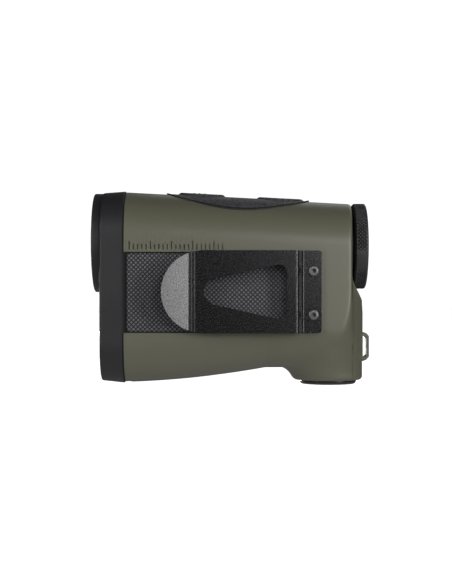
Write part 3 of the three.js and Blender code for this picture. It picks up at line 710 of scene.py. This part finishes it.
def button_pad(material):
    rho = np.concatenate([np.linspace(0, 0.965, 60), 1 - np.array([0.028, 0.021, 0.014, 0.008, 0.003, 0])])

    def top(x, y, rho):
        drop = np.clip((rho - 0.975) / 0.025, 0, 1)
        return surface_z(x, y, PAD["proud"]) - 0.3 * (1 - np.sqrt(1 - drop ** 2 * 0.98))

    pad = crowned("button_pad", PAD["centre"], PAD["half_length"] - RIM["end"] - 0.02,
                  PAD["half_width"] - RIM["width"] - 0.02, skin(-PAD["depth"]), top, rho, 260)
    gap = BUTTON["gap"]
    for x in BUTTONS.values():
        boolean(pad, "DIFFERENCE", crowned(
            "well", x, BUTTON["half_length"] + gap, BUTTON["half_width"] + gap, BELOW_PAD, ABOVE, PLAIN_RHO))
    return dress(pad, material, "body", ["button_pad"], 35)


def pad_rim(material):
    """The raised black lip around the pad."""

    def top(x, y, rho):
        drop = np.clip((rho - 0.985) / 0.015, 0, 1)
        tip = RIM["tip"] * (np.abs(x - PAD["centre"]) / PAD["half_length"]) ** 40
        return surface_z(x, y, RIM["proud"]) + tip - 0.3 * (1 - np.sqrt(1 - drop ** 2 * 0.98))

    rim = crowned("button_pad_rim", PAD["centre"], PAD["half_length"] + RIM["out"],
                  PAD["half_width"] + RIM["out"], skin(-PAD["depth"]), top,
                  [*np.linspace(0, 0.9, 4), *np.linspace(0.93, 1, 16)], 260)
    boolean(rim, "DIFFERENCE", crowned(
        "inside", PAD["centre"], PAD["half_length"] - RIM["end"], PAD["half_width"] - RIM["width"],
        BELOW_PAD, ABOVE, PLAIN_RHO, 260))
    return dress(rim, material, "body", (), 40)


DOTS = dict(start=-37.5, end=-13.5, pitch=1.12, r=0.3, height=0.22, sunk=0.05, inset=0.925, oval=0.93)


def pad_dots(material):
    """A row of small raised dots inside the rim, on each side."""
    verts, faces = [], []
    rings, sides = 3, 8
    around = np.linspace(0, 2 * math.pi, sides, endpoint=False)
    for side in (-1, 1):
        for x in np.arange(DOTS["start"], DOTS["end"], DOTS["pitch"]):
            share = (x - PAD["centre"]) / PAD["half_length"] / DOTS["oval"]
            y = side * DOTS["inset"] * PAD["half_width"] * math.sqrt(1 - share ** 2)
            z = float(surface_z(x, y, PAD["proud"])) - DOTS["sunk"]
            base = len(verts)
            for lift in np.arange(rings) * math.pi / 6:
                r, up = DOTS["r"] * math.cos(lift), DOTS["height"] * math.sin(lift)
                verts += [(x + r * math.cos(a), y + r * math.sin(a), z + up) for a in around]
            verts.append((x, y, z + DOTS["height"]))
            faces += grid_faces(rings, sides, wrap_columns=True, offset=base)
            top, tip = base + (rings - 1) * sides, base + rings * sides
            faces += [(top + i, top + (i + 1) % sides, tip) for i in range(sides)]
            faces.append(tuple(base + i for i in range(sides))[::-1])
    return dress(solid("button_pad_dots", verts, faces), material, "body", (), 60)


def button(name, rise, ridges, material):
    """A raised key: it ramps up from the pad at both ends to a flatter top."""
    centre = BUTTONS[name]
    rho = np.concatenate([np.linspace(0, 0.97, 66), [0.98, 0.99, 1.0]])

    def top(x, y, rho):
        ramp = np.clip((1 - rho) / 0.13, 0, 1)
        ramp = ramp * ramp * (3 - 2 * ramp)
        height = surface_z(x, y, PAD["proud"]) + rise * ramp
        for at in ridges:
            across = np.clip(1 - np.abs(y) / 2.6, 0, 1) ** 0.25
            height = height + 0.22 * np.exp(-(((x - at) / 0.3) ** 2)) * across
        return height - 0.2 * np.clip((rho - 0.985) / 0.015, 0, 1)

    key = crowned(name, centre, BUTTON["half_length"], BUTTON["half_width"], skin(-0.3), top, rho, 220)
    return dress(key, material, name, [name], 35)


# ------------------------------------------------------------------ grip pads and underside strip

def grip_pad(name, side, material):
    """A rubber pad with crossing grooves cut at 45 degrees."""
    pitch, groove, depth = 1.15, 0.3, 0.36
    lines = np.concatenate([[k * pitch - groove, k * pitch - 0.07, k * pitch + 0.07, k * pitch + groove]
                            for k in range(-28, 29)])
    dips = np.tile([0.0, depth, depth, 0.0], 57)
    u, v = np.meshgrid(lines, lines, indexing="ij")
    height = GRIP["face"] - np.maximum(dips[:, None], dips[None, :])
    middle = ((GRIP["front"] + GRIP["rear"]) / 2, (GRIP["bottom"] + GRIP["top"]) / 2)
    x, z = middle[0] + (u + v) / math.sqrt(2), middle[1] + (u - v) / math.sqrt(2)
    count = len(lines)
    top = np.stack([x, side * height, z], axis=2).reshape(-1, 3)
    rim = grid_rim(count, count)
    base = top[rim].copy()
    base[:, 1] = side * 10
    total, around = count * count, len(rim)
    faces = grid_faces(count, count)
    faces += [(rim[i], rim[(i + 1) % around], total + (i + 1) % around, total + i) for i in range(around)]
    faces.append(tuple(total + i for i in range(around)))
    pad = solid(name, np.concatenate([top, base]), faces)
    frame_line = rounded([(GRIP["bottom"], GRIP["front"]), (GRIP["top"], GRIP["front"]),
                          (GRIP["top"], GRIP["rear"]), (GRIP["bottom"], GRIP["rear"])], [0.6] * 4)
    boolean(pad, "INTERSECT", prism("edge", frame_line, "y", *sorted((side * GRIP["back"], side * 22))))
    return dress(pad, material, "body", [name], 25)


def grip_shade_bed(name, side, material):
    """A dark rubber bed that each grip pad sits in; its black also stands in for the shade in the gap round
    the pad.
    """
    low, high = GRIP["bottom"] - 0.55, GRIP["top"] + 0.55
    outline = [(low, BODY["front"] + 0.05), (high, BODY["front"] + 0.05), (high, GRIP["rear"] + 0.25),
               (low, GRIP["rear"] + 0.25)]
    bed = prism(name, outline, "y", *sorted((side * (GRIP["floor"] + 0.04), side * (GRIP["back"] - 0.02))))
    return dress(bed, material, "body", (), 30)


STRIP = dict(front=-71.8, rear=-42.7, half_width=7, proud=(0.24, 0.08), soft=0.08, edge=0.15, sunk=0.05)


def underside_pad(material):
    """A thin strip on the underside, a little prouder at its front and softened at its edges."""
    front, rear, half_width = STRIP["front"], STRIP["rear"], STRIP["half_width"]
    rows, columns = 60, 30
    length, width = np.linspace(front, rear, rows), np.linspace(-half_width, half_width, columns)
    x, y = np.meshgrid(length, width, indexing="ij")
    inset = np.minimum.reduce([x - front, rear - x, y + half_width, half_width - y])
    proud = np.interp(x, (front, rear), STRIP["proud"]) - STRIP["soft"] * np.exp(-inset / STRIP["edge"])
    skin_z = surface_z(x, y, 0, up=False)
    layers = [np.stack([x, y, z], 2).reshape(-1, 3) for z in (skin_z - proud, skin_z - STRIP["sunk"])]
    total, rim = x.size, grid_rim(rows, columns)
    ahead = rim[1:] + rim[:1]
    faces = grid_faces(rows, columns) + grid_faces(rows, columns, offset=total)
    faces += [(a, b, total + b, total + a) for a, b in zip(rim, ahead)]
    pad = solid("underside_pad", np.concatenate(layers), faces)
    return dress(pad, material, "body", ["underside_pad"], 35)


# ------------------------------------------------------------------ belt clip

CLIP = dict(bottom=19.2, top=48.3, rear=-3.76, sheet=1.2, foot=21.5, arm=25.6, heel=-10.4, knee=-12.2,
            dip=-50.2, dip_face=24.5, tip=-60.1, tip_face=29.0, edge=0.22, screw_x=-6.65,
            screws={"lower": 25.6, "upper": 41.1})
WINDOW = dict(rear=-16.15, half_height=9.5, corner=2.8, nose_x=-40.5, nose_r=4.7)


def open_path(points, radii, steps=8):
    """A bent line: like rounded(), but its ends stay where they are."""
    return np.array(rounded(points, [0, *radii, 0], steps))


def belt_clip(material):
    """The bent sheet, in one piece: its foot, its sprung arm and its lip."""
    c = CLIP
    line = open_path(
        [(c["rear"], -c["foot"]), (c["heel"], -c["foot"]), (c["knee"], -c["arm"]),
         (c["dip"] + 1.9, -c["arm"]), (c["dip"] + 0.1, -c["dip_face"]), (c["tip"], -c["tip_face"])],
        [0.9, 1.5, 1.2, 1.3])
    step = np.gradient(line, axis=0)
    normal = np.stack([-step[:, 1], step[:, 0]], axis=1)
    normal /= np.linalg.norm(normal, axis=1)[:, None]
    if normal[0, 1] < 0:
        normal = -normal
    inner = line + normal * c["sheet"]
    outline = [tuple(p) for p in line] + [tuple(p) for p in inner[::-1]]
    sheet = prism("belt_clip", outline, "z", c["bottom"], c["top"])
    middle, half = (c["bottom"] + c["top"]) / 2, (c["top"] - c["bottom"]) / 2
    round_x = c["tip"] + half
    nose = [(middle + half * math.cos(a), round_x - half * math.sin(a)) for a in np.linspace(0, math.pi, 65)]
    corners = rounded([(c["bottom"], c["rear"]), (c["top"], c["rear"]), nose[0], nose[-1]], [1, 1, 0, 0], 6)
    plan = corners[:-2] + nose
    boolean(sheet, "INTERSECT", prism("plan", plan, "y", -35, -15))
    boolean(sheet, "DIFFERENCE", prism("window", window_outline(), "y", -35, -15))
    holes = [lathe("hole", [(0, -26), (1.2, -26), (1.2, -18), (0, -18)], "y", (c["screw_x"], 0, z), 32)
             for z in c["screws"].values()]
    boolean(sheet, "DIFFERENCE", *holes)
    apply(sheet, "BEVEL", width=c["edge"] * MM, segments=3, limit_method="ANGLE",
          angle_limit=math.radians(50), harden_normals=False)
    dress(sheet, material, None)
    smooth(sheet, 42)
    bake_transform(sheet)
    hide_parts("belt_clip_foot", "belt_clip_arm")
    return sheet


def window_outline():
    """Outline of the clip's window as (Z, X) points: a round nose, straight sides and two round corners."""
    w = WINDOW
    middle = (CLIP["bottom"] + CLIP["top"]) / 2
    slope = math.radians(11.5)
    nose = [(middle + w["nose_r"] * math.sin(a), w["nose_x"] - w["nose_r"] * math.cos(a))
            for a in np.linspace(-math.pi / 2 + slope, math.pi / 2 - slope, 25)]
    corners = []
    r, turn = w["corner"], math.pi / 2 + slope
    for sign, sweep in ((1, np.linspace(turn, 0, 9)), (-1, np.linspace(0, -turn, 9))):
        z, x = middle + sign * (w["half_height"] - r), w["rear"] - r
        corners += [(z + r * math.sin(a), x + r * math.cos(a)) for a in sweep]
    return nose + corners


SCREW = dict(seat=-21.55, height=1.12, r=1.92, shank=0.85, socket=0.98, floor=1.4)


def clip_screw(name, z, material):
    """A button-head screw with a hex socket."""
    seat, x = SCREW["seat"], CLIP["screw_x"]
    turn = np.linspace(0, math.pi / 2, 8)
    crown = [(1.3 + 0.55 * math.sin(a), seat - 0.62 - 0.5 * math.cos(a)) for a in turn]
    profile = [(0, seat - SCREW["height"]), *crown, (SCREW["r"], seat - 0.1), (1.85, seat),
               (SCREW["shank"], seat), (SCREW["shank"], -15), (0, -15)]
    head = lathe(name, profile, "y", (x, 0, z), 48)
    turns = np.arange(6) * math.pi / 3
    socket = [(z + SCREW["socket"] * math.sin(a), x + SCREW["socket"] * math.cos(a)) for a in turns]
    boolean(head, "DIFFERENCE", prism("socket", socket, "y", seat - 3, seat + SCREW["floor"]))
    return dress(head, material, "body", [name], 30)


# ------------------------------------------------------------------ battery cap and lanyard loop

def battery_cap(material):
    profile = [(0, 0.15), (6.2, 0.15), (6.6, 0.0)]
    profile += rounded([(6.6, 0), (10.35, 0), (10.35, 1.9)], [0, 1.15, 0], 8)[1:]
    profile += [(8.2, 1.9), (8.2, 3.4), (9.2, 3.4), (9.2, 4.7), (7.6, 4.7), (7.6, 2.2), (0, 2.2)]
    cap = lathe("battery_cap", profile, "z", (0, 0, 0), 160)
    for low, high in ((-8.2, -2.8), (2.8, 8.2)):
        line = rounded([(low, -0.8), (high, -0.8), (high, 0.8), (low, 0.8)], [0.75] * 4, 5)
        boolean(cap, "DIFFERENCE", prism("slot", line, "z", -1, 1.1))
    return dress(cap, material, "battery_cap", ["battery_cap"], 30)


def lanyard_loop(material):
    rim = rounded([(8.2, 12.4), (8.7, 13.9), (9.9, 15.0), (17.6, 15.0), (18.7, 13.9), (19.1, 12.4)],
                  [0, 0.8, 0.7, 0.7, 0.8, 0], 5)
    hole = rounded([(9.9, 11), (9.9, 13.3), (10.7, 14.0), (16.7, 14.0), (17.5, 13.3), (17.5, 11)],
                   [0, 0.4, 0.5, 0.5, 0.4, 0], 5)
    eye = prism("lanyard_loop", rim, "y", -2.5, 2.5)
    boolean(eye, "DIFFERENCE", prism("hole", hole, "y", -4, 4))
    apply(eye, "BEVEL", width=0.28 * MM, segments=3, limit_method="ANGLE", angle_limit=math.radians(50))
    boolean(eye, "UNION", box("tongue", (9.3, 12.7), (-2.5, 2.5), (9.05, 18.25)))
    return dress(eye, material, "body", ["lanyard_loop"], 35)


# ------------------------------------------------------------------ finishes

def glass_material(name, colour, film):
    material, tree, bsdf = shader(name)
    smudge = noise(tree, 240, 4.0)
    bsdf.inputs["Base Color"].default_value = (*colour, 1)
    tree.links.new(spread(tree, smudge.outputs["Fac"], 0.015, 0.05), bsdf.inputs["Roughness"])
    bsdf.inputs["Transmission Weight"].default_value = 1.0
    bsdf.inputs["IOR"].default_value = 1.52
    bsdf.inputs["Coat Weight"].default_value = 0.6
    bsdf.inputs["Coat Tint"].default_value = (*film, 1)
    bsdf.inputs["Coat Roughness"].default_value = 0.03
    return material


def pebbled(name, colour, rough, cell, depth):
    """Rubber with a pebble grain: small rounded cells under the fine noise, with painted shade in the dips
    between them.
    """
    material = grainy(name, colour, 0.12, rough, 0.25, 0.02, specular=0.45)
    tree, bsdf = material.node_tree, material.node_tree.nodes["Principled BSDF"]
    cells = node(tree, "ShaderNodeTexVoronoi", Scale=1000 / cell)
    tree.links.new(tree.nodes["place"].outputs["Object"], cells.inputs["Vector"])
    bump(tree, bsdf, cells.outputs["Distance"], 0.8, depth, invert=True)
    # painted shade: the rubber is darker in the dips between the cells
    dip_shade = spread(tree, cells.outputs["Distance"], 0, 1, 0.3, 0.75)
    return overlay(material, dip_shade, [c * 0.4 for c in colour])


def stage_material():
    material, tree, bsdf = shader("studio_white")
    bsdf.inputs["Base Color"].default_value = (0.8, 0.8, 0.8, 1)
    bsdf.inputs["Roughness"].default_value = 0.9
    bsdf.inputs["Emission Color"].default_value = (1, 1, 1, 1)
    bsdf.inputs["Emission Strength"].default_value = 1.0
    return material


def main():
    make_camera()
    make_stage()
    olive = grainy("olive_plastic", (0.132, 0.132, 0.092), 0.05, 0.42, 0.35, 0.01, specular=0.75, blotch=0.15)
    black = grainy("black_plastic", (0.024, 0.024, 0.0265), 0.08, 0.45, 0.3, 0.012)
    gloss = grainy("gloss_black", (0.024, 0.022, 0.022), 0.05, 0.22, 0.4, 0.004, coat=0.4)
    rubber = grainy("rubber", (0.034, 0.034, 0.036), 0.12, 0.7, 0.25, 0.03)
    dark_rubber = grainy("dark_rubber", (0.012, 0.012, 0.012), 0.12, 0.6, 0.25, 0.02)
    dot_rubber = grainy("dot_rubber", (0.16, 0.16, 0.165), 0.12, 0.5, 0.25, 0.01)
    pebble = pebbled("pebbled_rubber", (0.085, 0.085, 0.092), 0.55, 0.8, 0.12)
    grip = grainy("grip_rubber", (0.165, 0.165, 0.18), 0.15, 0.6, 0.3, 0.02)
    # painted shade at the bottom of the grip pad's grooves
    paint_groove_shade(grip, sideways, 19.3, 19.58, (0.03, 0.03, 0.033))
    knurled = grainy("knurled_plastic", (0.04, 0.04, 0.042), 0.08, 0.45, 0.3, 0.012)
    # painted shade at the bottom of the diopter ring's knurl
    paint_groove_shade(knurled, from_eye_axis, 15.3, 15.6, (0.008, 0.008, 0.008))
    coated = grainy("powder_coat", (0.006, 0.006, 0.007), 0.8, 0.25, 0.42, 0.03, specular=0.4, blotch=0.03)
    speckled(coated, 0.4, 0.08, (0.04, 0.04, 0.042))
    steel = grainy("steel", (0.19, 0.19, 0.195), 0.12, 0.42, 0.2, 0.01, metal=0.8)
    brass = grainy("brass", (0.66, 0.5, 0.25), 0.1, 0.35, 0.3, 0.005, metal=1.0)
    alloy = grainy("alloy", (0.45, 0.45, 0.47), 0.1, 0.45, 0.4, 0.02, metal=1.0)
    board = grainy("solder_mask", (0.03, 0.13, 0.07), 0.15, 0.4, 0.5, 0.01)
    chip = grainy("chip_resin", (0.02, 0.02, 0.022), 0.1, 0.5, 0.2, 0.01)
    film = grainy("flex_film", (0.55, 0.27, 0.07), 0.1, 0.35, 0.5, 0.005)
    wrap = grainy("cell_wrap", (0.05, 0.13, 0.3), 0.06, 0.3, 0.6, 0.004)
    glass = glass_material("lens_glass", (0.96, 0.98, 1.0), (0.75, 0.9, 1.0))

    slots = {"body_olive": olive, "black_plastic": black, "cap_plastic": gloss, "rubber": rubber,
             "grip_rubber": grip, "coated_steel": coated, "bare_steel": steel, "brass": brass,
             "alloy": alloy, "lens_glass": glass, "circuit_board": board, "chip_plastic": chip,
             "flex_film": film, "cell_wrap": wrap}
    for part in frame["record"]["subparts"]:
        cad = frame["nodes"][part["node"]]
        for place in cad.material_slots:
            place.material = slots[part["material_slot"]]

    housing(-1, olive)
    housing(1, olive)
    front_bezel(black)
    bezel_seal(rubber)
    optics(black, rubber, glass)
    diopter_ring(knurled)
    button_pad(pebble)
    pad_rim(dark_rubber)
    pad_dots(dot_rubber)
    button("measure_button", 0.72, (-49.1, -47.2, -45.2), pebble)
    button("menu_button", 0.6, (), pebble)
    grip_pad("left_grip_pad", -1, grip)
    grip_pad("right_grip_pad", 1, grip)
    # dark beds round the grip pads: dark rubber, their black partly painted shade in the gap
    grip_shade_bed("left_grip_shade_bed", -1, dark_rubber)
    grip_shade_bed("right_grip_shade_bed", 1, dark_rubber)
    underside_pad(rubber)
    belt_clip(coated)
    for end, z in CLIP["screws"].items():
        clip_screw(f"clip_screw_{end}", z, steel)
    battery_cap(gloss)
    lanyard_loop(olive)
    bpy.context.scene.view_settings.view_transform = "Standard"


main()
